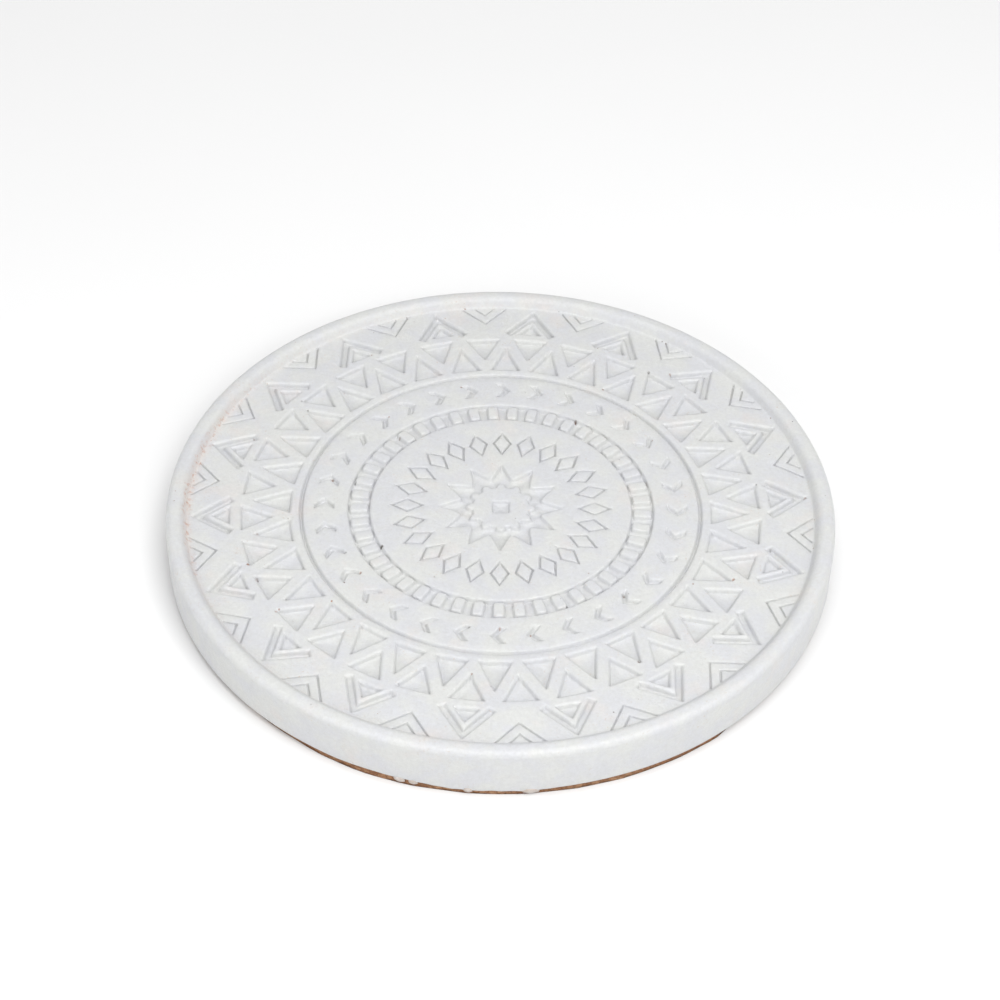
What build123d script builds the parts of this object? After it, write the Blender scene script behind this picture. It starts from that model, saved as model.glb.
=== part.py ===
from build123d import *
from math import radians, tan
import os

# Round cast coaster with a raised rim, a mandala sunk into its dish and a cork backing.
# Millimetres, +Z up. The origin is on the resting plane, under the centre of the disc.
# The front of the object faces -Y.

os.makedirs("parts", exist_ok=True)

# ---- driving dimensions --------------------------------------------------------------------
DISC_RADIUS = 50.0  # outside of the casting
CASTING_HEIGHT = 7.4  # underside of the casting to the rim's crown
RIM_HEIGHT = 1.4  # crown above the dish floor
RIM_FOOT_RADIUS = 46.9  # where the rim's inner wall meets the dish floor
RIM_CROWN_RADIUS = 47.7  # inner edge of the crown, before rounding
CROWN_INNER_ROUND = 0.5
CROWN_OUTER_ROUND = 0.75
FOOT_ROUND = 0.35
BOTTOM_EDGE_ROUND = 0.2

CORK_THICKNESS = 1.0
CORK_RADIUS = 48.6  # smaller than the casting
CORK_SHIFT = -1.1  # stuck on towards the front, almost flush with the casting there
GLUE_THICKNESS = 0.12
GLUE_RADIUS = 47.4
BEAD_REACH = 49.95  # outer face of the glue squeezed out over the cork's edge
BEAD_DROP = 0.7  # how far that glue hangs down
BEADS = ((254.3, 1.3), (256.8, 1.3), (265.7, 1.1), (275.3, 1.7))  # direction in degrees, width

POCKET_DEPTH = 0.8  # motifs sunk into the dish floor
LINE_DEPTH = 0.45  # thin incised outlines
LINE_WIDTH = 0.3

# ---- mandala, from the centre outwards; turns are in degrees from +X -----------------------
SQUARE_SIDE = 2.5
ISLAND_RADIUS = 4.4
ISLAND_LOBES = 12
ISLAND_LOBE_REACH = 5.2
ISLAND_LOBE_WIDTH = 1.45

STAR_POINTS = 12
STAR_BODY_RADIUS = 6.5
STAR_TIP_RADIUS = 9.0
STAR_HALF_WIDTH = 1.25
STAR_OVERLAP = 0.3  # how far each point starts inside the star's body

DIAMOND_COUNT = 24
DIAMOND_MIDDLE = 14.05
DIAMOND_HALF_LENGTH = 2.6
DIAMOND_HALF_WIDTH = 1.48

TILE_COUNT = 45
TILE_TURN = 6.0
TILE_CHANNEL_INNER = 19.5
TILE_CHANNEL_OUTER = 23.0
TILE_LENGTH = 2.3
TILE_WIDTH = 1.4
TILE_CORNER = 0.5

CHEVRON_COUNT = 32
CHEVRON_TURN = 0.3
CHEVRON_RADIUS = 26.5
CHEVRON_HALF_SPAN = 1.5  # along the radius
CHEVRON_POINT = 1.3  # how far the point runs ahead along the circle
CHEVRON_STROKE = 0.95  # measured along the circle

GROOVE_RADIUS = 29.9
GROOVE_WIDTH = 0.8

TRIANGLE_COUNT = 32
OUTWARD_TURN = 10.7
OUTWARD_BASE = 31.6
OUTWARD_TIP = 36.9
OUTWARD_HALF_WIDTH = 2.2
INWARD_TURN = 5.0
INWARD_BASE = 38.8
INWARD_TIP = 34.3
INWARD_HALF_WIDTH = 2.45

VEE_COUNT = 18
VEE_TURN = 4.1
VEE_TIP = 46.05
VEE_FOOT = 40.7
VEE_HALF_WIDTH = 3.85
VEE_STROKE = 1.1
NESTED_BASE = 40.6  # small triangle inside each vee
NESTED_TIP = 42.9
NESTED_HALF_WIDTH = 1.65

LINED_TURN = 14.1  # pairs of thin lines between the vees, pointing inwards
LINED_TIPS = (42.8, 44.9)
LINED_SPREAD = 45.0  # angle between each leg and the radius

# ---- worked-out heights and places ----------------------------------------------------------
CASTING_BOTTOM = CORK_THICKNESS + GLUE_THICKNESS
CROWN_TOP = CASTING_BOTTOM + CASTING_HEIGHT
DISH_FLOOR = CROWN_TOP - RIM_HEIGHT
TILE_MIDDLE = (TILE_CHANNEL_INNER + TILE_CHANNEL_OUTER) / 2
LINE_LIMIT = RIM_FOOT_RADIUS - FOOT_ROUND  # thin lines stop where the rim begins to rise


# The outlines below lie along a radius: X is measured outwards and Y along the circle.
def triangle_outline(base, tip, half_width):
    """Corners of a triangle with its base on one radius and its point on another."""
    return [(base, -half_width), (tip, 0), (base, half_width)]


def diamond_outline(middle, half_length, half_width):
    """Corners of a diamond that is longer along the radius."""
    return [
        (middle - half_length, 0),
        (middle, half_width),
        (middle + half_length, 0),
        (middle, -half_width),
    ]


def vee_outline(tip, foot, half_width, stroke):
    """Corners of a V whose point is at radius tip and whose legs, stroke wide, reach foot."""
    run = foot - tip
    leg = (run**2 + half_width**2) ** 0.5
    facing = run / abs(run)
    inner_tip = tip + facing * stroke * leg / half_width
    inner_foot = foot + facing * stroke * half_width / leg
    inner_half_width = half_width - stroke * abs(run) / leg
    return [
        (tip, 0),
        (foot, half_width),
        (inner_foot, inner_half_width),
        (inner_tip, 0),
        (inner_foot, -inner_half_width),
        (foot, -half_width),
    ]


# ---- casting: disc, rim and relief in one pour ----------------------------------------------
with BuildPart() as cast_disc:
    with BuildSketch(Plane.XZ):
        with BuildLine():
            Polyline(
                (0, CASTING_BOTTOM),
                (DISC_RADIUS, CASTING_BOTTOM),
                (DISC_RADIUS, CROWN_TOP),
                (RIM_CROWN_RADIUS, CROWN_TOP),
                (RIM_FOOT_RADIUS, DISH_FLOOR),
                (0, DISH_FLOOR),
                close=True,
            )
        make_face()
    revolve(axis=Axis.Z)

    levels = cast_disc.edges().filter_by(GeomType.CIRCLE).group_by(Axis.Z)
    crown_edges = levels[-1].sort_by(SortBy.RADIUS)
    fillet(crown_edges[-1], CROWN_OUTER_ROUND)
    fillet(crown_edges[0], CROWN_INNER_ROUND)
    fillet(levels[-2], FOOT_ROUND)
    fillet(levels[0], BOTTOM_EDGE_ROUND)

    # motifs sunk into the dish floor
    with BuildSketch(Plane.XY.offset(DISH_FLOOR)):
        # plain round groove
        Circle(GROOVE_RADIUS + GROOVE_WIDTH / 2)
        Circle(GROOVE_RADIUS - GROOVE_WIDTH / 2, mode=Mode.SUBTRACT)

        # channel, with the tiles left standing in it
        Circle(TILE_CHANNEL_OUTER)
        Circle(TILE_CHANNEL_INNER, mode=Mode.SUBTRACT)
        with PolarLocations(TILE_MIDDLE, TILE_COUNT, start_angle=TILE_TURN):
            RectangleRounded(TILE_LENGTH, TILE_WIDTH, TILE_CORNER, mode=Mode.SUBTRACT)

        # star, with a lobed island left standing in it and a square sunk into the island
        Circle(STAR_BODY_RADIUS)
        with PolarLocations(0, STAR_POINTS):
            point = triangle_outline(STAR_BODY_RADIUS - STAR_OVERLAP, STAR_TIP_RADIUS, STAR_HALF_WIDTH)
            Polygon(*point, align=None)
        Circle(ISLAND_RADIUS, mode=Mode.SUBTRACT)
        with PolarLocations(ISLAND_LOBE_REACH / 2, ISLAND_LOBES):
            Rectangle(ISLAND_LOBE_REACH, ISLAND_LOBE_WIDTH, mode=Mode.SUBTRACT)
        Rectangle(SQUARE_SIDE, SQUARE_SIDE)

        # chevrons pointing clockwise, seen from above
        with PolarLocations(CHEVRON_RADIUS, CHEVRON_COUNT, start_angle=CHEVRON_TURN):
            Polygon(
                (0, -CHEVRON_POINT),
                (CHEVRON_HALF_SPAN, 0),
                (CHEVRON_HALF_SPAN, CHEVRON_STROKE),
                (0, CHEVRON_STROKE - CHEVRON_POINT),
                (-CHEVRON_HALF_SPAN, CHEVRON_STROKE),
                (-CHEVRON_HALF_SPAN, 0),
                align=None,
            )

        # two interlocking rings of triangles
        with PolarLocations(0, TRIANGLE_COUNT, start_angle=OUTWARD_TURN):
            Polygon(*triangle_outline(OUTWARD_BASE, OUTWARD_TIP, OUTWARD_HALF_WIDTH), align=None)
        with PolarLocations(0, TRIANGLE_COUNT, start_angle=INWARD_TURN):
            Polygon(*triangle_outline(INWARD_BASE, INWARD_TIP, INWARD_HALF_WIDTH), align=None)

        # vees pointing outwards, each over a small triangle
        with PolarLocations(0, VEE_COUNT, start_angle=VEE_TURN):
            Polygon(*vee_outline(VEE_TIP, VEE_FOOT, VEE_HALF_WIDTH, VEE_STROKE), align=None)
            Polygon(*triangle_outline(NESTED_BASE, NESTED_TIP, NESTED_HALF_WIDTH), align=None)
    extrude(amount=-POCKET_DEPTH, mode=Mode.SUBTRACT)

    # thin incised outlines
    with BuildSketch(Plane.XY.offset(DISH_FLOOR)):
        # diamonds: the inner outline is the outer one, moved in by the line's width
        diamond_side = (DIAMOND_HALF_LENGTH**2 + DIAMOND_HALF_WIDTH**2) ** 0.5
        shrink = 1 - LINE_WIDTH * diamond_side / (DIAMOND_HALF_LENGTH * DIAMOND_HALF_WIDTH)
        with PolarLocations(0, DIAMOND_COUNT):
            outer = diamond_outline(DIAMOND_MIDDLE, DIAMOND_HALF_LENGTH, DIAMOND_HALF_WIDTH)
            Polygon(*outer, align=None)
        with PolarLocations(0, DIAMOND_COUNT):
            inner = diamond_outline(
                DIAMOND_MIDDLE, DIAMOND_HALF_LENGTH * shrink, DIAMOND_HALF_WIDTH * shrink
            )
            Polygon(*inner, align=None, mode=Mode.SUBTRACT)

        # nested pairs of lines pointing inwards, cut off at the rim's foot
        with PolarLocations(0, VEE_COUNT, start_angle=LINED_TURN):
            for tip in LINED_TIPS:
                half_width = (RIM_FOOT_RADIUS - tip) * tan(radians(LINED_SPREAD))
                Polygon(*vee_outline(tip, RIM_FOOT_RADIUS, half_width, LINE_WIDTH), align=None)
        Circle(LINE_LIMIT, mode=Mode.INTERSECT)
    extrude(amount=-LINE_DEPTH, mode=Mode.SUBTRACT)

cast_disc.part.label = "cast_disc"
export_step(cast_disc.part, "parts/cast_disc.step")

# ---- cork backing ---------------------------------------------------------------------------
with BuildPart() as cork_backing:
    with BuildSketch():
        with Locations((0, CORK_SHIFT)):
            Circle(CORK_RADIUS)
    extrude(amount=CORK_THICKNESS)

cork_backing.part.label = "cork_backing"
export_step(cork_backing.part, "parts/cork_backing.step")

# ---- glue layer: a thin film, squeezed out over the cork's front edge in a few places -------
with BuildPart() as glue_layer:
    with BuildSketch(Plane.XY.offset(CORK_THICKNESS)):
        Circle(GLUE_RADIUS)
    extrude(amount=GLUE_THICKNESS)

    with BuildSketch(Plane.XY.offset(CASTING_BOTTOM)):
        for direction, width in BEADS:
            with PolarLocations(GLUE_RADIUS, 1, start_angle=direction):
                Rectangle(2 * (DISC_RADIUS - GLUE_RADIUS), width)
        Circle(BEAD_REACH, mode=Mode.INTERSECT)
    extrude(amount=-GLUE_THICKNESS - BEAD_DROP)

    # the cork takes up the rest of the room
    with BuildSketch():
        with Locations((0, CORK_SHIFT)):
            Circle(CORK_RADIUS)
    extrude(amount=CORK_THICKNESS, mode=Mode.SUBTRACT)

glue_layer.part.label = "glue_layer"
export_step(glue_layer.part, "parts/glue_layer.step")
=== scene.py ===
import math
import random

import bpy
import numpy as np
from mathutils import Matrix, Vector
from mathutils.geometry import delaunay_2d_cdt


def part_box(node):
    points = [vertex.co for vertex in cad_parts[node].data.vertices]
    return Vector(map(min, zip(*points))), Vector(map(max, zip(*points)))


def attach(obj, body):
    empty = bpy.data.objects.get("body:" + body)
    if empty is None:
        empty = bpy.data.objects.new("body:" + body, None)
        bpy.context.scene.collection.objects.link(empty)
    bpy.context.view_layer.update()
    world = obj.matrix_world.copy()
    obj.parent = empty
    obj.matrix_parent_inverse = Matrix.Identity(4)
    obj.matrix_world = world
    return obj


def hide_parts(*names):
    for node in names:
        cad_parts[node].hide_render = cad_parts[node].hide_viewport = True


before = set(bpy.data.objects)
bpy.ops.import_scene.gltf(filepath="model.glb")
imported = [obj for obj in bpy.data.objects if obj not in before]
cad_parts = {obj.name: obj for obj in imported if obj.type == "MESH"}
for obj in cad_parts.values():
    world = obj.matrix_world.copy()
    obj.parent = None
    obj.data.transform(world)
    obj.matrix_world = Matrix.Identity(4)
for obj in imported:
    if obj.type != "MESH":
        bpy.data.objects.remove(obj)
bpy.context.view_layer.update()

MM = 0.001
rng = random.Random(20)

# ---- sizes ---------------------------------------------------------------------------------
casting_low, casting_high = (Vector(corner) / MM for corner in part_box("cast_disc"))
cork_low, cork_high = (Vector(corner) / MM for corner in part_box("cork_backing"))

DISC_RADIUS = (casting_high.x - casting_low.x) / 2
CASTING_BOTTOM = casting_low.z
CROWN_TOP = casting_high.z
RIM_HEIGHT = 1.4
DISH_FLOOR = CROWN_TOP - RIM_HEIGHT

CORK_TOP = cork_high.z
CORK_RADIUS = (cork_high.x - cork_low.x) / 2
CORK_SHIFT = (cork_high.y + cork_low.y) / 2

# rim's section: (radius, height above the dish floor) and the rounding of each corner
RIM_FOOT = 46.9
RIM_SECTION = ((RIM_FOOT, 0.0), (47.7, RIM_HEIGHT), (DISC_RADIUS, RIM_HEIGHT))
RIM_ROUNDING = (0.5, 1.25, 1.0)
BOTTOM_ROUNDING = 0.2
ARC_STEPS = 5  # mesh edges in each rounded corner of that section
AROUND = 720  # points on each full circle of the rim and wall

# section of a sunk edge: (distance outside its outline, depth as a share of the motif's)
POCKET_DEPTH = 0.8
POCKET_EDGE = (
    (0.54, 0.0),
    (0.45, 0.0),
    (0.31, 0.035),
    (0.18, 0.12),
    (0.07, 0.27),
    (-0.01, 0.5),
    (-0.07, 0.77),
    (-0.14, 0.93),
    (-0.25, 1.0),
)
SHALLOW_DEPTH = 0.62
CHANNEL_DEPTH = 0.75
CHEVRON_DEPTH = 0.62
GROOVE_DEPTH = 0.6
DIAMOND_DEPTH = 0.5
GROOVE_EDGE = ((0.26, 0.0), (0.16, 0.06), (0.06, 0.28), (-0.04, 0.65), (-0.13, 0.9), (-0.2, 1.0))
SHALLOW_EDGE = ((0.34, 0.0), (0.24, 0.02), (0.13, 0.12), (0.03, 0.4), (-0.06, 0.8), (-0.18, 1.0))
LINE_DEPTH = 0.45
LINE_EDGE = ((0.12, 0.0), (0.06, 0.03), (0.0, 0.22), (-0.07, 0.9), (-0.12, 1.0))
LINE_WIDTH = 0.27

STRAIGHT_STEP = 1.1  # longest mesh edge along a straight side
CURVE_STEP = 0.4  # and along a circle
CORNER_STEPS = 4  # mesh edges round a bar's corner
FLOWER_STEPS = 24  # mesh edges along each point of a flower
SLIGHT_TURN, TURN_STEP = 0.3, 0.45  # radians: a corner left sharp, and an arc's step where it opens


# ---- outlines: X runs outwards along a radius, Y along the circle -----------------------------
def triangle(base, tip, half_width):
    return [(base, -half_width), (tip, 0), (base, half_width)]


def diamond(middle, half_length, half_width):
    return [
        (middle - half_length, 0),
        (middle, -half_width),
        (middle + half_length, 0),
        (middle, half_width),
    ]


def vee(tip, foot, half_width, stroke):
    """A V with its point at radius tip and square-ended legs that reach radius foot."""
    run = foot - tip
    leg = math.hypot(run, half_width)
    facing = math.copysign(1, run)
    inner_tip = tip + facing * stroke * leg / half_width
    inner_foot = foot + facing * stroke * half_width / leg
    inner_half_width = half_width - stroke * abs(run) / leg
    return [
        (tip, 0),
        (foot, half_width),
        (inner_foot, inner_half_width),
        (inner_tip, 0),
        (inner_foot, -inner_half_width),
        (foot, -half_width),
    ]


def chevron(middle, half_span, point, stroke):
    """An arrowhead that points clockwise along the circle."""
    return [
        (middle, -point),
        (middle + half_span, 0),
        (middle + half_span, stroke),
        (middle, stroke - point),
        (middle - half_span, stroke),
        (middle - half_span, 0),
    ]


def rounded_bar(middle, length, width, corner):
    """A bar with its length along the radius and round corners."""
    points = []
    for quarter in range(4):
        turn = quarter * math.pi / 2
        side_x = 1 if quarter in (0, 3) else -1
        side_y = 1 if quarter in (0, 1) else -1
        centre = (middle + side_x * (length / 2 - corner), side_y * (width / 2 - corner))
        for step in range(CORNER_STEPS + 1):
            angle = turn + step * math.pi / 2 / CORNER_STEPS
            points.append((centre[0] + corner * math.cos(angle), centre[1] + corner * math.sin(angle)))
    return points


def circle(radius):
    count = round(2 * math.pi * radius / CURVE_STEP)
    angles = [2 * math.pi * k / count for k in range(count)]
    return [(radius * math.cos(a), radius * math.sin(a)) for a in angles]


def flower(body, tip, points, share, power):
    """A circle of radius body with that many points; share is a point's part of its sector."""
    count = points * FLOWER_STEPS
    outline = []
    for k in range(count):
        angle = 2 * math.pi * k / count
        sector = 2 * math.pi / points
        off = abs((angle + sector / 2) % sector - sector / 2) / (sector / 2 * share)
        radius = body + (tip - body) * max(0.0, 1 - off) ** power
        outline.append((radius * math.cos(angle), radius * math.sin(angle)))
    return outline


def lined_foot(tip, spread, limit):
    """How far along the radius a V line from tip runs before its legs reach the limit radius."""
    slope = math.tan(math.radians(spread)) ** 2
    return (slope * tip + math.sqrt(limit**2 * (1 + slope) - slope * tip**2)) / (1 + slope)


# ---- motifs ----------------------------------------------------------------------------------
class Motif:
    """An outline repeated around the centre, with the section of its edge."""

    def __init__(self, outline, count=1, turn=0.0, edge=POCKET_EDGE, depth=POCKET_DEPTH, sunk=True):
        area = sum(ax * by - bx * ay for (ax, ay), (bx, by) in zip(outline, outline[1:] + outline[:1]))
        self.outline = outline if area > 0 else outline[::-1]
        self.count = count
        self.turn = math.radians(turn)
        self.edge = edge
        self.depth = depth
        self.sunk = sunk  # False for an island left standing in a sunk area

    def distance(self, x, y):
        """Distance to the nearest copy of the outline, negative inside it."""
        radius = np.hypot(x, y)
        sector = 2 * math.pi / self.count
        angle = (np.arctan2(y, x) - self.turn + sector / 2) % sector - sector / 2
        px, py = radius * np.cos(angle), radius * np.sin(angle)
        nearest = np.full(px.shape, np.inf)
        inside = np.zeros(px.shape, bool)
        for (ax, ay), (bx, by) in zip(self.outline, self.outline[1:] + self.outline[:1]):
            ex, ey = bx - ax, by - ay
            along = np.clip(((px - ax) * ex + (py - ay) * ey) / (ex * ex + ey * ey), 0, 1)
            nearest = np.minimum(nearest, np.hypot(px - ax - along * ex, py - ay - along * ey))
            if ay != by:
                crossed = (ay > py) != (by > py)
                inside ^= crossed & (px < ax + (py - ay) / (by - ay) * ex)
        return np.where(inside, -nearest, nearest)

    def sink(self, distance):
        """Depth below the dish floor at that distance outside the sunk area."""
        levels = self.edge[::-1]
        return self.depth * np.interp(distance, [d for d, _ in levels], [s for _, s in levels])

    def loops(self):
        """Closed loops along which the mesh has edges, one for each level and copy."""
        for level, _ in self.edge:
            offset = offset_outline(self.outline, level if self.sunk else -level)
            base = subdivide(offset)
            for copy in range(self.count):
                turn = self.turn + 2 * math.pi * copy / self.count
                c, s = math.cos(turn), math.sin(turn)
                yield [(c * x - s * y, s * x + c * y) for x, y in base]


def offset_outline(outline, distance):
    """The outline moved outwards, or inwards if distance is negative, round where it opens."""
    moved = []
    for before, here, after in zip(outline[-1:] + outline[:-1], outline, outline[1:] + outline[:1]):
        into = Vector((here[0] - before[0], here[1] - before[1])).normalized()
        out = Vector((after[0] - here[0], after[1] - here[1])).normalized()
        first, second = Vector((into.y, -into.x)), Vector((out.y, -out.x))
        turn = math.atan2(into.cross(out), into.dot(out))
        if turn * distance > 0 and abs(turn) > SLIGHT_TURN:
            steps = math.ceil(abs(turn) / TURN_STEP)
            start = math.atan2(first.y, first.x)
            for step in range(steps + 1):
                angle = start + turn * step / steps
                moved.append((here[0] + distance * math.cos(angle), here[1] + distance * math.sin(angle)))
        else:
            shift = (first + second) * (distance / (1 + first.dot(second)))
            moved.append((here[0] + shift.x, here[1] + shift.y))
    return moved


def subdivide(loop):
    """Adds points to the loop's long sides."""
    points = []
    for (ax, ay), (bx, by) in zip(loop, loop[1:] + loop[:1]):
        pieces = max(1, math.ceil(math.hypot(bx - ax, by - ay) / STRAIGHT_STEP))
        points += [(ax + (bx - ax) * k / pieces, ay + (by - ay) * k / pieces) for k in range(pieces)]
    return points


# Motif(outline, number of copies, turn in degrees, ...)
square = Motif(rounded_bar(0.0, 2.4, 2.4, 0.3), edge=SHALLOW_EDGE, depth=SHALLOW_DEPTH)
island = Motif(flower(4.35, 5.25, 12, 0.62, 0.45), edge=SHALLOW_EDGE, sunk=False)
star = Motif(flower(6.2, 9.2, 12, 1.0, 1.75), edge=SHALLOW_EDGE, depth=SHALLOW_DEPTH)
diamonds = Motif(diamond(14.05, 2.6, 1.48), 24, 0.0, LINE_EDGE, DIAMOND_DEPTH)
diamond_insides = Motif(diamond(14.05, 2.0, 1.135), 24, 0.0, LINE_EDGE, LINE_DEPTH, sunk=False)
channel = Motif(circle(22.87), edge=SHALLOW_EDGE, depth=CHANNEL_DEPTH)
channel_inside = Motif(circle(19.7), edge=SHALLOW_EDGE, sunk=False)
tiles = Motif(rounded_bar(21.28, 2.85, 1.75, 0.5), 45, 6.0, edge=SHALLOW_EDGE, sunk=False)
chevrons = Motif(chevron(26.5, 1.4, 1.2, 0.8), 32, 0.3, edge=SHALLOW_EDGE, depth=CHEVRON_DEPTH)
groove = Motif(circle(30.15), edge=GROOVE_EDGE, depth=GROOVE_DEPTH)
groove_inside = Motif(circle(29.72), edge=GROOVE_EDGE, sunk=False)
outward_triangles = Motif(triangle(31.6, 36.9, 2.2), 32, 10.7)
inward_triangles = Motif(triangle(38.8, 34.3, 2.45), 32, 5.0)
vees = Motif(vee(46.05, 40.7, 3.85, 0.95), 18, 4.1)
nested_triangles = Motif(triangle(40.6, 42.9, 1.65), 18, 4.1)
lined_vees = []
LINE_SPREAD = 45  # degrees between a leg and the radius
LINE_GAP = 0.3  # between a leg's end and the rim
for line_tip in (42.8, 44.9):
    line_foot = lined_foot(line_tip, LINE_SPREAD, RIM_FOOT - LINE_GAP)
    line = vee(line_tip, line_foot, line_foot - line_tip, LINE_WIDTH)
    lined_vees.append(Motif(line, 18, 14.1, LINE_EDGE, LINE_DEPTH))

# a sunk area, and what is left standing in it
SUNK = (
    (square,),
    (star, island),
    (diamonds, diamond_insides),
    (channel, channel_inside, tiles),
    (chevrons,),
    (groove, groove_inside),
    (outward_triangles,),
    (inward_triangles,),
    (vees,),
    (nested_triangles,),
    (lined_vees[0],),
    (lined_vees[1],),
)


# ---- sections ----------------------------------------------------------------------------------
def round_section(corners, roundings):
    """The corner points with arcs put in; roundings are for the inner corners only."""
    section = [corners[0]]
    for before, here, after, rounding in zip(corners, corners[1:], corners[2:], roundings):
        into = (Vector(here) - Vector(before)).normalized()
        out = (Vector(after) - Vector(here)).normalized()
        turn = math.atan2(into.cross(out), into.dot(out))
        back = rounding * math.tan(abs(turn) / 2)
        start = Vector(here) - into * back
        normal = Vector((-into.y, into.x)) * math.copysign(rounding, turn)
        centre = start + normal
        for step in range(ARC_STEPS + 1):
            point = centre + Matrix.Rotation(turn * step / ARC_STEPS, 2) @ (start - centre)
            section.append((point.x, point.y))
    section.append(corners[-1])
    return section


def waviness(x, y, scale, seed):
    """Smooth, repeatable unevenness between about -1 and 1, with humps about scale apart."""
    wave_count, usual_total = 7, 4
    waves = random.Random(seed)
    total = np.zeros(np.shape(x))
    for _ in range(wave_count):
        direction = waves.uniform(0, 2 * math.pi)
        pitch = 2 * math.pi / (scale * waves.uniform(0.6, 1.7))
        phase = waves.uniform(0, 2 * math.pi)
        total += np.sin(pitch * (x * math.cos(direction) + y * math.sin(direction)) + phase)
    return total / usual_total


WALL_FOOT = CASTING_BOTTOM - DISH_FLOOR  # below the dish floor, so negative
rim_section = round_section(
    [(RIM_FOOT - 1, 0.0), *RIM_SECTION, (DISC_RADIUS, WALL_FOOT), (DISC_RADIUS - 2, WALL_FOOT)],
    [*RIM_ROUNDING, BOTTOM_ROUNDING],
)


# ---- meshes -------------------------------------------------------------------------------------
def make_piece(name, points, faces, material):
    """A smooth-shaded mesh object from points in millimetres."""
    mesh = bpy.data.meshes.new(name)
    mesh.from_pydata((np.asarray(points) * MM).tolist(), [], faces)
    mesh.validate()
    mesh.update()
    mesh.shade_smooth()
    mesh.materials.append(material)
    piece = bpy.data.objects.new(name, mesh)
    bpy.context.collection.objects.link(piece)
    return piece


def triangulate(loops, loose):
    """Triangles over a plane region, with edges along the closed loops and a vertex at each
    loose point: the points, the faces, and where each given point is among the points."""
    points, edges = [], []
    for loop in loops:
        first = len(points)
        points += loop
        edges += [(first + k, first + (k + 1) % len(loop)) for k in range(len(loop))]
    points += loose
    vectors = [Vector(p) for p in points]
    closest = 1e-5  # points nearer than this are merged
    found, _, faces, origins, _, _ = delaunay_2d_cdt(vectors, edges, [], 0, closest, True)
    place = {old: new for new, olds in enumerate(origins) for old in olds}
    plane = np.array([(v.x, v.y) for v in found])
    return plane, faces, place


def ring_points(radius, count=AROUND):
    angles = [2 * math.pi * k / count for k in range(count)]
    return [(radius * math.cos(a), radius * math.sin(a)) for a in angles]


# ---- pinholes: (x, y, radius, depth, strength of stain and painted shade) where air bubbles lay against the mould ---
CORNER_HOLES, SCATTERED_HOLES, RIM_HOLES = 60, 46, 40
SCATTER_RADIUS = 46
RIM_HOLE_RADII = (46.75, 46.85, 46.95, 48.8)  # three at the rim's foot, one on its crown
HOLE_SIDES = 9
# section of a pinhole: (share of its radius, share of its depth)
PINHOLE_SECTION = ((0.0, 1.0), (0.55, 0.75), (0.9, 0.25), (1.1, 0.0), (1.5, 0.0))


def motif_corner(motif):
    """A random corner of a random copy of a motif."""
    x, y = rng.choice(motif.outline)
    turn = motif.turn + 2 * math.pi * rng.randrange(motif.count) / motif.count
    return x * math.cos(turn) - y * math.sin(turn), x * math.sin(turn) + y * math.cos(turn)


def pinhole(x, y, size):
    """A pinhole there with that radius, and a random depth and a random strength of its stain and painted
    shade.
    """
    return x, y, size, size * rng.uniform(1.0, 1.6), rng.choice((0.3, 0.5, 0.75, 1.0))


def scatter_pinholes():
    holes = []
    cornered = (outward_triangles, inward_triangles, vees, nested_triangles, chevrons, tiles)
    for _ in range(CORNER_HOLES):
        x, y = motif_corner(rng.choice(cornered))
        size = 0.13 + 0.13 * rng.random() ** 2.5
        holes.append(pinhole(x + rng.uniform(-0.3, 0.3), y + rng.uniform(-0.3, 0.3), size))
    for _ in range(SCATTERED_HOLES):
        radius, angle = SCATTER_RADIUS * math.sqrt(rng.random()), rng.uniform(0, 2 * math.pi)
        size = 0.05 + 0.09 * rng.random() ** 2
        holes.append(pinhole(radius * math.cos(angle), radius * math.sin(angle), size))
    for _ in range(RIM_HOLES):
        radius, angle = rng.choice(RIM_HOLE_RADII), rng.uniform(0, 2 * math.pi)
        size = 0.05 + 0.08 * rng.random() ** 2
        holes.append(pinhole(radius * math.cos(angle), radius * math.sin(angle), size))
    return holes


# ---- the casting -------------------------------------------------------------------------------
RUST_OFFSET, RUST_SPREAD = 0.1, 0.5  # from the rim's foot
RUST_DIRECTION, RUST_REACH = 178, 24  # degrees around the rim
RUST_ELSEWHERE = 0.12  # its strength along the rest of the left half

# how far the wall's lower edge runs down over the cork: (direction in degrees, length)
LIP = (
    (0, 0.0),
    (238, 0.0),
    (244, 0.12),
    (250, 0.04),
    (256, 0.1),
    (261, 0.36),
    (274, 0.4),
    (281, 0.1),
    (290, 0.0),
    (360, 0.0),
)
LIP_THICKNESS = 0.22
LIP_START = 1.2  # height above the casting's bottom where the wall starts to stretch

FILL_SPACING, FILL_JITTER = 1.7, 0.3  # the loose mesh points between the motifs
FILL_ROW = 0.87  # a row's distance from the next, as a share of the spacing
CURLED_RIM = 0.2  # the rim's outermost part, too steep to be a height over the plane
WALL_ROWS = 9
WALL_INSET, WALL_WAVE = 0.02, 0.018  # the inset makes room for the wave
UNDERSIDE_RINGS = (44, 25, 6)


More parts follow.
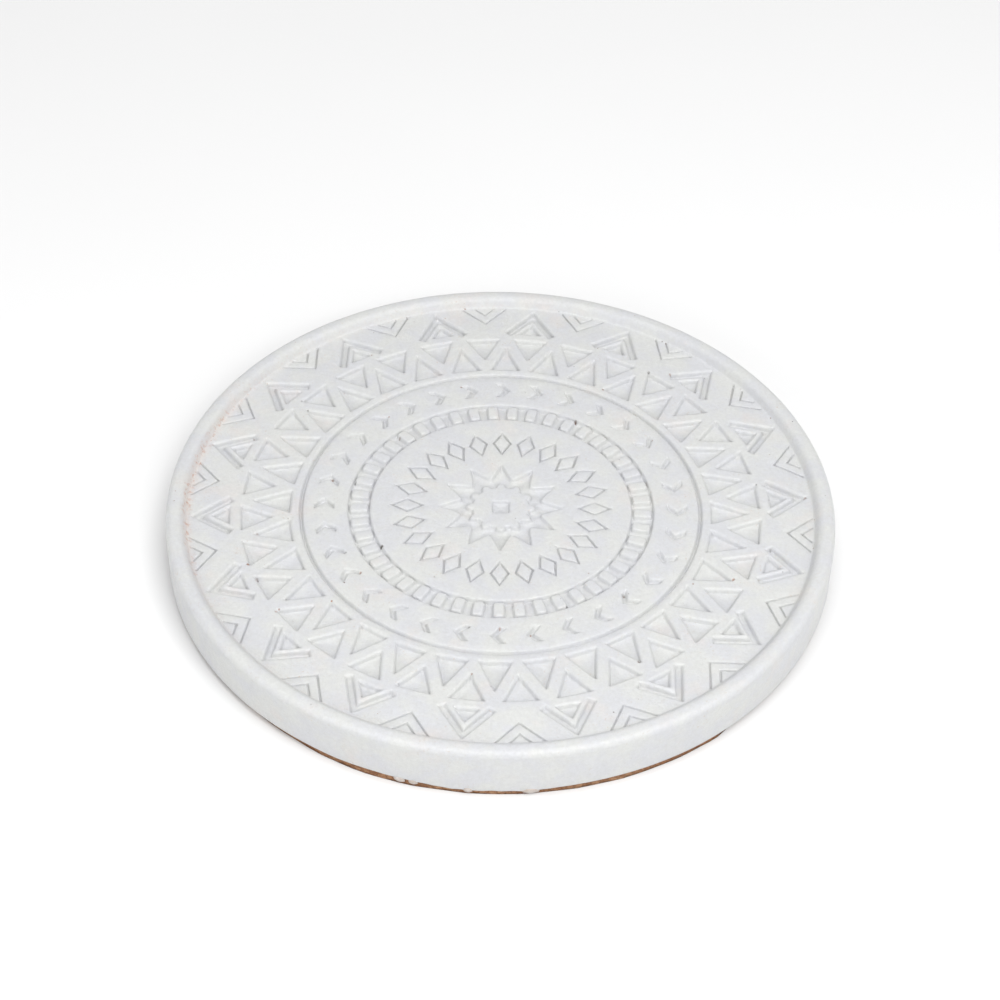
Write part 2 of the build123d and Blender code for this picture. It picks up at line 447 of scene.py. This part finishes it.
def build_casting(material):
    """The casting: relief and rim over the plane of the dish, then the wall and underside."""
    holes = scatter_pinholes()
    loops = [loop for area in SUNK for motif in area for loop in motif.loops()]

    top_radius = DISC_RADIUS - CURLED_RIM
    top_levels = [r for r, z in rim_section if z >= 0 and r <= top_radius]
    loops += [ring_points(radius) for radius in top_levels]
    for x, y, radius, _, _ in holes:
        for share, _ in PINHOLE_SECTION[1:]:
            loops.append([(x + dx, y + dy) for dx, dy in ring_points(radius * share, HOLE_SIDES)])
    loose = [(x, y) for x, y, *_ in holes]

    steps = int(RIM_FOOT / FILL_SPACING)
    for row in range(-steps, steps + 1):
        for column in range(-steps, steps + 1):
            x = (column + 0.5 * (row % 2)) * FILL_SPACING + rng.uniform(-FILL_JITTER, FILL_JITTER)
            y = row * FILL_SPACING * FILL_ROW + rng.uniform(-FILL_JITTER, FILL_JITTER)
            if math.hypot(x, y) < RIM_FOOT - 2 * FILL_JITTER:
                loose.append((x, y))

    plane, faces, place = triangulate(loops, loose)
    x, y = plane[:, 0], plane[:, 1]
    radius = np.hypot(x, y)

    depth = np.zeros(len(plane))
    for area in SUNK:
        distance = area[0].distance(x, y)
        for left_standing in area[1:]:
            distance = np.maximum(distance, -left_standing.distance(x, y))
        depth = np.maximum(depth, area[0].sink(distance))
    profile = [(r, z) for r, z in rim_section if z >= 0]
    height = np.interp(radius, [r for r, _ in profile], [z for _, z in profile])
    height += 0.02 * waviness(x, y, scale=16, seed=1) + 0.006 * waviness(x, y, scale=4, seed=2)
    height -= depth * (1 + 0.08 * waviness(x, y, scale=9, seed=3))

    # the pits' colour darkens towards their centres: painted shade in the pits, partly a real stain
    pit_stain_and_shade = np.zeros(len(plane))
    for hx, hy, size, deep, strength in holes:
        share = np.hypot(x - hx, y - hy) / size
        cut = np.interp(share, [s for s, _ in PINHOLE_SECTION], [d for _, d in PINHOLE_SECTION])
        height -= deep * cut
        pit_stain_and_shade = np.maximum(pit_stain_and_shade, strength * cut**0.5)

    points = [(px, py, DISH_FLOOR + pz) for px, py, pz in zip(x, y, height)]

    # wall and underside, carried on from the outermost loop
    below = [place[k] for k in outermost_ring(loops, top_levels[-1])]
    rows = [(r, DISH_FLOOR + z) for r, z in rim_section if z >= 0 and r > top_radius]
    wall_top, wall_bottom = rows[-1][1], CASTING_BOTTOM + BOTTOM_ROUNDING
    wall_height = wall_top - wall_bottom
    rows += [(DISC_RADIUS, wall_top - wall_height * k / WALL_ROWS) for k in range(1, WALL_ROWS)]
    rows += [(r, DISH_FLOOR + z) for r, z in rim_section if z < 0][:-1]
    rows += [(DISC_RADIUS - BOTTOM_ROUNDING - LIP_THICKNESS, CASTING_BOTTOM)]
    rows += [(r, CASTING_BOTTOM) for r in UNDERSIDE_RINGS]
    angles = np.arange(AROUND) * 2 * math.pi / AROUND
    along = angles * DISC_RADIUS
    lip = np.interp(np.degrees(angles), [d for d, _ in LIP], [length for _, length in LIP])
    lip = lip * (1 + 0.25 * waviness(along, np.zeros(AROUND), scale=1.6, seed=6))
    for row_radius, row_height in rows:
        wave = WALL_WAVE * waviness(along, np.full(AROUND, row_height), scale=9, seed=4)
        wave = wave * (1 + np.cos(angles)) / 2  # strongest on the right, none on the left
        if row_radius < DISC_RADIUS - 1:
            wave = wave * 0
        drop = lip * (row_radius > DISC_RADIUS - BOTTOM_ROUNDING - LIP_THICKNESS / 2)
        drop = drop * np.clip((CASTING_BOTTOM + LIP_START - row_height) / LIP_START, 0, 1)
        reach = row_radius - WALL_INSET + wave
        first = len(points)
        points += [
            (r * math.cos(a), r * math.sin(a), row_height - d) for a, r, d in zip(angles, reach, drop)
        ]
        ring = [first + k for k in range(AROUND)]
        faces += [
            (below[k], ring[k], ring[(k + 1) % AROUND], below[(k + 1) % AROUND]) for k in range(AROUND)
        ]
        below = ring
    faces.append(below[::-1])

    casting = make_piece("casting", points, faces, material)
    values = np.zeros(len(points))
    values[: len(pit_stain_and_shade)] = pit_stain_and_shade
    # the pits' darkening as an attribute: painted shade in the pits, partly a real stain
    attribute = casting.data.attributes.new("pit_stain_and_shade", "FLOAT", "POINT")
    attribute.data.foreach_set("value", values)

    # where reddish specks gather: the rim's foot on the left
    px, py = np.array([p[0] for p in points]), np.array([p[1] for p in points])
    foot = np.exp(-(((np.hypot(px, py) - RIM_FOOT - RUST_OFFSET) / RUST_SPREAD) ** 2))
    turn_from_rust = np.degrees(np.arctan2(py, px)) % 360 - RUST_DIRECTION
    near_rust = np.exp(-((turn_from_rust / RUST_REACH) ** 2))
    attribute = casting.data.attributes.new("rust", "FLOAT", "POINT")
    strength = RUST_ELSEWHERE + (1 - RUST_ELSEWHERE) * near_rust
    attribute.data.foreach_set("value", foot * strength * (px < 0))
    return casting


def outermost_ring(loops, radius):
    """Where the points of the rim loop with that radius lie among all the loops' points."""
    first = 0
    for loop in loops:
        if len(loop) == AROUND and math.isclose(math.hypot(*loop[0]), radius):
            return range(first, first + AROUND)
        first += len(loop)
    raise ValueError("no outermost ring")


# ---- materials ------------------------------------------------------------------------------
class Nodes:
    """A short way to write a node material. Object coordinates are in metres."""

    def __init__(self, name):
        self.material = bpy.data.materials.new(name)
        self.material.use_nodes = True
        self.tree = self.material.node_tree
        self.shader = self.tree.nodes["Principled BSDF"]
        self.coordinates = self.add("ShaderNodeTexCoord").outputs["Object"]

    def add(self, kind, **settings):
        node = self.tree.nodes.new(kind)
        for key, value in settings.items():
            setattr(node, key, value)
        return node

    def link(self, value, socket):
        if isinstance(value, bpy.types.NodeSocket):
            self.tree.links.new(value, socket)
        else:
            socket.default_value = value

    def noise(self, size, detail=3.0, roughness=0.5):
        """Noise with features about size millimetres across."""
        node = self.add("ShaderNodeTexNoise")
        self.link(self.coordinates, node.inputs["Vector"])
        node.inputs["Scale"].default_value = 1 / (size * MM)
        node.inputs["Detail"].default_value = detail
        node.inputs["Roughness"].default_value = roughness
        return node.outputs["Fac"]

    def cells(self, size, feature="F1"):
        """Voronoi cells about size millimetres across."""
        node = self.add("ShaderNodeTexVoronoi", feature=feature)
        self.link(self.coordinates, node.inputs["Vector"])
        node.inputs["Scale"].default_value = 1 / (size * MM)
        return node

    def spread(self, value, low, high, new_low=0.0, new_high=1.0):
        """The value stretched from the old range to the new one, and clamped to it."""
        node = self.add("ShaderNodeMapRange")
        for socket, given in zip(node.inputs, (value, low, high, new_low, new_high)):
            self.link(given, socket)
        return node.outputs["Result"]

    def times(self, first, second):
        node = self.add("ShaderNodeMath", operation="MULTIPLY")
        self.link(first, node.inputs[0])
        self.link(second, node.inputs[1])
        return node.outputs["Value"]

    def attribute(self, name):
        return self.add("ShaderNodeAttribute", attribute_name=name).outputs["Fac"]

    def mix(self, share, first, second):
        node = self.add("ShaderNodeMix", data_type="RGBA")
        self.link(share, node.inputs["Factor"])
        for socket in node.inputs:  # the node also has hidden float and vector sockets called A and B
            if socket.type == "RGBA" and socket.name in "AB":
                self.link(first if socket.name == "A" else second, socket)
        return [socket for socket in node.outputs if socket.type == "RGBA"][0]

    def bump(self, height, distance, under=None):
        """A bump with that height in millimetres, on top of another bump if one is given."""
        node = self.add("ShaderNodeBump")
        node.inputs["Strength"].default_value = 1.0
        node.inputs["Distance"].default_value = distance * MM
        self.link(height, node.inputs["Height"])
        if under is not None:
            self.link(under, node.inputs["Normal"])
        return node.outputs["Normal"]


def casting_material():
    """White mineral casting: satin, faintly mottled, with pinholes darkened by real stain and painted
    shade.
    """
    n = Nodes("white_casting")
    cool, plain, warm = (0.585, 0.593, 0.617, 1), (0.615, 0.622, 0.61, 1), (0.65, 0.602, 0.574, 1)
    grey, freckle_brown = (0.44, 0.44, 0.43, 1), (0.48, 0.38, 0.30, 1)
    rust_blush, rust_brown = (0.72, 0.57, 0.49, 1), (0.47, 0.25, 0.17, 1)
    # the near-black is painted shade in the pinholes; the red-brown is their real stain
    painted_pit_shade, red_stain = (0.06, 0.05, 0.04, 1), (0.30, 0.12, 0.05, 1)
    base = n.mix(n.spread(n.noise(4.5, 4, 0.6), 0.4, 0.6), cool, plain)
    blush = n.spread(n.noise(5.5, 4, 0.6), 0.56, 0.74, 0.0, 0.55)
    base = n.mix(blush, base, warm)
    grain = n.spread(n.noise(0.6, 6, 0.85), 0.36, 0.68, 0.0, 0.42)
    base = n.mix(grain, base, grey)
    freckled_patches = n.spread(n.noise(6), 0.45, 0.65, 0, 0.5)
    freckles = n.times(n.spread(n.noise(0.4, 2), 0.63, 0.75), freckled_patches)
    base = n.mix(freckles, base, freckle_brown)
    rust = n.attribute("rust")
    base = n.mix(n.times(rust, 0.3), base, rust_blush)
    specks = n.times(rust, n.spread(n.noise(0.7, 4, 0.75), 0.54, 0.64, 0.0, 0.9))
    base = n.mix(specks, base, rust_brown)
    # the pits' colour: near-black painted shade mixed at random with a real reddish-brown stain
    pit_stain_and_shade_colour = n.mix(n.spread(n.noise(7, 1), 0.44, 0.52), painted_pit_shade, red_stain)
    base = n.mix(n.attribute("pit_stain_and_shade"), base, pit_stain_and_shade_colour)
    n.link(base, n.shader.inputs["Base Color"])
    n.link(n.spread(n.noise(3, 4), 0.3, 0.7, 0.3, 0.42), n.shader.inputs["Roughness"])
    n.shader.inputs["Specular IOR Level"].default_value = 0.6
    fine = n.bump(n.noise(0.6, 5, 0.8), 0.11)
    n.link(n.bump(n.noise(1.8, 3), 0.05, under=fine), n.shader.inputs["Normal"])
    return n.material


def cork_material():
    """Agglomerated cork: pressed granules of many browns with darker joints."""
    n = Nodes("cork")
    granule = 1.1
    dark_granule, pale_granule = (0.27, 0.135, 0.068, 1), (0.43, 0.25, 0.14, 1)
    bark_brown, joint_brown = (0.19, 0.075, 0.035, 1), (0.12, 0.055, 0.03, 1)
    grains = n.cells(granule)
    shade = n.add("ShaderNodeSeparateColor")
    n.link(grains.outputs["Color"], shade.inputs["Color"])
    base = n.mix(shade.outputs["Red"], dark_granule, pale_granule)
    base = n.mix(n.spread(n.noise(0.5, 5, 0.7), 0.42, 0.66, 0.0, 0.75), base, bark_brown)
    joint = n.spread(n.cells(granule, "DISTANCE_TO_EDGE").outputs["Distance"], 0.0, 0.12, 0.45, 0.0)
    base = n.mix(joint, base, joint_brown)
    n.link(base, n.shader.inputs["Base Color"])
    n.shader.inputs["Roughness"].default_value = 0.85
    n.shader.inputs["Specular IOR Level"].default_value = 0.25
    grainy = n.bump(n.noise(0.25, 4, 0.7), 0.08)
    n.link(n.bump(joint, -0.12, under=grainy), n.shader.inputs["Normal"])
    return n.material


def glue_material():
    """Dried white glue, soiled brown in patches."""
    n = Nodes("white_glue")
    soiled, clean = (0.38, 0.31, 0.26, 1), (0.52, 0.48, 0.45, 1)
    base = n.mix(n.spread(n.noise(1.2, 3), 0.35, 0.65), soiled, clean)
    n.link(base, n.shader.inputs["Base Color"])
    n.link(n.spread(n.noise(0.8), 0.3, 0.7, 0.3, 0.45), n.shader.inputs["Roughness"])
    n.link(n.bump(n.noise(0.4, 3), 0.03), n.shader.inputs["Normal"])
    return n.material


def floor_material():
    n = Nodes("pale_floor")
    darker, paler = (0.80, 0.80, 0.80, 1), (0.815, 0.815, 0.815, 1)
    base = n.mix(n.noise(60, 2), darker, paler)
    n.link(base, n.shader.inputs["Base Color"])
    n.shader.inputs["Roughness"].default_value = 0.9
    n.shader.inputs["Specular IOR Level"].default_value = 0.1
    return n.material


# ---- cork sheet --------------------------------------------------------------------------------
# how far the cut edge lies inside the disc's outline at the front: (direction in degrees, inset)
FRONT_CUT = (
    (224, 0.9),
    (233, 0.6),
    (242, 0.3),
    (250, 0.16),
    (256, 0.14),
    (262, 0.3),
    (285, 0.34),
    (304, 0.38),
    (309, 0.45),
    (310.5, 1.5),
)


ROUND_CUT_INSET = 0.5  # of the cut edge, away from the front
CORK_AROUND = 1100
CORK_ROWS = (0.12, 0.3, 0.5, 0.7, 0.88, CORK_TOP)  # heights of the edge's rings of points
PITS, PIT_LOBES = 420, 9
PIT_RINGS = (1.12, 1.0, 0.7)  # shares of the pit's radius; the outer one keeps the face around it flat


def cork_edge(angle):
    """Radius of the hand-cut outline: a circle set to the front, trimmed where it meets the wall."""
    toward = CORK_SHIFT * math.sin(angle)
    round_cut = toward + math.sqrt((CORK_RADIUS - 0.15) ** 2 - CORK_SHIFT**2 + toward**2)
    wobble = 0.04 * math.sin(7 * angle) + 0.04 * math.sin(16 * angle + 2) + 0.03 * math.sin(41 * angle)
    direction = math.degrees(angle)
    if not FRONT_CUT[0][0] < direction < FRONT_CUT[-1][0]:
        return round_cut - ROUND_CUT_INSET + wobble
    inset = float(np.interp(direction, [d for d, _ in FRONT_CUT], [i for _, i in FRONT_CUT]))
    return DISC_RADIUS - inset + wobble


def build_cork(material):
    """The sheet: a crumbly cut edge, and an underside pitted between its granules."""
    around = CORK_AROUND
    angles = [2 * math.pi * k / around for k in range(around)]
    crumbs = [rng.uniform(-0.04, 0.04) for _ in angles]
    radii = [cork_edge(a) + c for a, c in zip(angles, crumbs)]
    rim = [(r * math.cos(a), r * math.sin(a)) for a, r in zip(angles, radii)]
    loops, pits = [rim], []
    while len(pits) < PITS:
        radius, angle = (CORK_RADIUS - 2) * math.sqrt(rng.random()), rng.uniform(0, 2 * math.pi)
        x, y = radius * math.cos(angle), radius * math.sin(angle) + CORK_SHIFT
        size = rng.uniform(0.25, 0.75)
        if all(math.hypot(x - px, y - py) > size + other + 0.3 for px, py, other, _ in pits):
            pits.append((x, y, size, rng.uniform(0.1, 0.3)))
            lobes = [rng.uniform(0.7, 1.05) for _ in range(PIT_LOBES)]
            for share in PIT_RINGS:
                ring = ring_points(size * share, PIT_LOBES)
                loops.append([(x + dx * lobe, y + dy * lobe) for (dx, dy), lobe in zip(ring, lobes)])
    plane, faces, place = triangulate(loops, [(x, y) for x, y, _, _ in pits])
    height = np.zeros(len(plane))
    for x, y, size, deep in pits:
        share = np.hypot(plane[:, 0] - x, plane[:, 1] - y) / size
        height = np.maximum(height, deep * np.clip(1.25 - share * 1.1, 0, 0.6) / 0.6 * (share < 0.9))
    points = [(x, y, z) for (x, y), z in zip(plane.tolist(), height.tolist())]
    faces = [face[::-1] for face in faces]  # this side faces down

    below = [place[k] for k in range(around)]
    for z in CORK_ROWS:
        first = len(points)
        for k, a in enumerate(angles):
            bite = rng.uniform(-0.07, 0.03) + 0.05 * math.sin(23 * a + 9 * z) * math.sin(61 * a + 4)
            radius = cork_edge(a) + crumbs[k] * 0.5 + bite - (0.05 if z == CORK_ROWS[0] else 0)
            points.append((radius * math.cos(a), radius * math.sin(a), z))
        ring = [first + k for k in range(around)]
        faces += [
            (below[k], below[(k + 1) % around], ring[(k + 1) % around], ring[k]) for k in range(around)
        ]
        below = ring
    faces.append(below)
    return make_piece("cork_sheet", points, faces, material)


# ---- glue ----------------------------------------------------------------------------------------
# beads squeezed out at the front: (direction in degrees, width, height)
GLUE_BEADS = ((254.6, 1.5, 0.8), (256.9, 1.2, 0.7), (265.7, 1.5, 0.8), (275.6, 2.2, 0.85))
FILM_RADIUS, FILM_POINTS = 47.4, 240
BEAD_INSET = 0.16  # of a bead's centre inside the disc's radius
BEAD_HALF_THICKNESS = 0.34


def build_glue(material):
    """The film between casting and cork, and the beads squeezed out over the cork's edge."""
    count = FILM_POINTS
    angles = [k * math.tau / count for k in range(count)]
    radii = [FILM_RADIUS + 0.5 * math.sin(5 * a) + rng.uniform(-0.1, 0.1) for a in angles]
    points, faces = [], []
    for z in (CORK_TOP, CASTING_BOTTOM):
        points += [(r * math.cos(a), r * math.sin(a), z) for a, r in zip(angles, radii)]
    faces.append(list(range(count))[::-1])
    faces.append([count + k for k in range(count)])
    faces += [(k, (k + 1) % count, count + (k + 1) % count, count + k) for k in range(count)]

    for direction, width, drop in GLUE_BEADS:
        add_bead(points, faces, math.radians(direction), width, drop)
    return make_piece("glue", points, faces, material)


def add_bead(points, faces, direction, width, drop):
    """A flattened drop that hangs from the casting's lower edge over the cork's."""
    rows, columns = 9, 18
    outward = Vector((math.cos(direction), math.sin(direction), 0))
    sideways = Vector((-math.sin(direction), math.cos(direction), 0))
    centre = outward * (DISC_RADIUS - BEAD_INSET) + Vector((0, 0, CASTING_BOTTOM - drop / 2 + 0.1))
    first = len(points)
    lump = rng.uniform(0, 6)
    for row in range(rows + 1):
        tilt = math.pi * row / rows
        for column in range(columns):
            angle = math.tau * column / columns
            swell = 1 + 0.16 * math.sin(2 * angle + lump) + 0.1 * math.sin(3 * tilt + 5 * angle)
            across = sideways * (math.sin(tilt) * math.cos(angle) * swell * width / 2)
            out = outward * (math.sin(tilt) * math.sin(angle) * BEAD_HALF_THICKNESS)
            up = Vector((0, 0, math.cos(tilt) * (drop / 2 + 0.08)))
            points.append(tuple(centre + across + out + up))
    for row in range(rows):
        for column in range(columns):
            a, b = row * columns + column, row * columns + (column + 1) % columns
            faces.append([first + k for k in (a, a + columns, b + columns, b)])


# ---- the object -------------------------------------------------------------------------------
casting = build_casting(casting_material())
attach(casting, "root")
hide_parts("cast_disc")

cork = build_cork(cork_material())
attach(cork, "root")
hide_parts("cork_backing")

glue = build_glue(glue_material())
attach(glue, "root")
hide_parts("glue_layer")

# ---- stage: floor, light and camera -------------------------------------------------------------
FLOOR_HALF_M = 3.0
FLOOR_HEIGHT_M = -0.00001  # just under the cork, so that their faces don't coincide
floor_mesh = bpy.data.meshes.new("floor")
sides = ((-1, -1), (1, -1), (1, 1), (-1, 1))
corners = [(x * FLOOR_HALF_M, y * FLOOR_HALF_M, FLOOR_HEIGHT_M) for x, y in sides]
floor_mesh.from_pydata(corners, [], [(0, 1, 2, 3)])
floor_mesh.materials.append(floor_material())
floor = bpy.data.objects.new("floor", floor_mesh)
bpy.context.collection.objects.link(floor)


def soft_light(name, place_m, size_m, watts):
    """A square area light aimed at the object."""
    light = bpy.data.lights.new(name, "AREA")
    light.size = size_m
    light.energy = watts
    lamp = bpy.data.objects.new(name, light)
    lamp.location = place_m
    lamp.rotation_euler = (-Vector(place_m)).to_track_quat("-Z", "Y").to_euler()
    bpy.context.collection.objects.link(lamp)


soft_light("key", (0.110, -0.247, 0.359), 0.22, 1.0)
soft_light("left", (-0.281, -0.281, 0.211), 0.22, 0.55)
soft_light("right", (0.360, -0.168, 0.211), 0.22, 0.35)
soft_light("overhead", (0, 0.1, 0.9), 0.9, 3.3)

world = bpy.data.worlds.new("studio")
world.use_nodes = True
world.node_tree.nodes["Background"].inputs["Color"].default_value = (1, 1, 1, 1)
world.node_tree.nodes["Background"].inputs["Strength"].default_value = 0.5
bpy.context.scene.world = world
bpy.context.scene.view_settings.view_transform = "Standard"

CAMERA_TILT = math.radians(90 - 43.67)  # it looks down at 43.67 degrees
CAMERA_ROLL = math.radians(1.158)
CAMERA_PLACE_M = (-0.00015, -0.2707, DISH_FLOOR * MM + 0.25977)
camera_data = bpy.data.cameras.new("camera")
camera_data.lens = 90
camera_data.sensor_width = 36
camera = bpy.data.objects.new("camera", camera_data)
camera.matrix_world = (
    Matrix.Translation(CAMERA_PLACE_M)
    @ Matrix.Rotation(CAMERA_TILT, 4, "X")
    @ Matrix.Rotation(CAMERA_ROLL, 4, "Z")
)
bpy.context.collection.objects.link(camera)
bpy.context.scene.camera = camera

bpy.context.view_layer.update()
